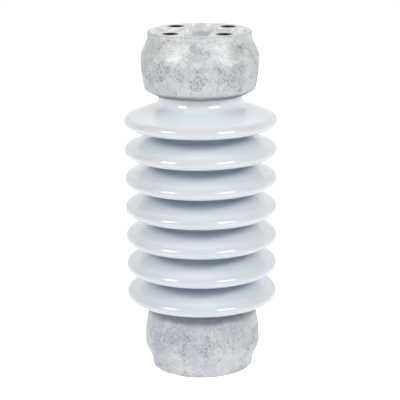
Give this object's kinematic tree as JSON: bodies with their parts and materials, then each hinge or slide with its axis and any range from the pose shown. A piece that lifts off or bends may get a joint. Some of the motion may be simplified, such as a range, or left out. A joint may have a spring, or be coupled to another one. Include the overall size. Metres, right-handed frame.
{
  "type": "station post insulator",
  "caption": "Porcelain station post insulator: a shedded, glazed solid core cemented into galvanised iron caps with tapped bolt holes, standing off a live bus bar.",
  "frame": {"origin": "centre of the lower cap's mounting face", "axes": "+Z along the insulator's axis towards the upper cap; X and Y square to the bolt pattern"},
  "size_m": [0.158, 0.158, 0.3556],
  "materials": {
    "glazed_porcelain": "glossy light blue-grey glaze",
    "galvanised_iron": "hot-dip galvanised as-cast surface, mottled",
    "portland_cement": "cured neat cement",
    "bitumen": "satin bituminous coat",
    "porcelain_grit": "coarse fused grit",
    "cork": "granulated cork sheet"
  },
  "bodies": {
    "root": {"porcelain_body": "glazed_porcelain", "lower_cap": "galvanised_iron", "lower_cement": "portland_cement", "lower_bitumen_coat": "bitumen", "lower_grit_band": "porcelain_grit", "lower_cork_cushion": "cork", "upper_cap": "galvanised_iron", "upper_cement": "portland_cement", "upper_bitumen_coat": "bitumen", "upper_grit_band": "porcelain_grit", "upper_cork_cushion": "cork"}
  },
  "joints": []
}
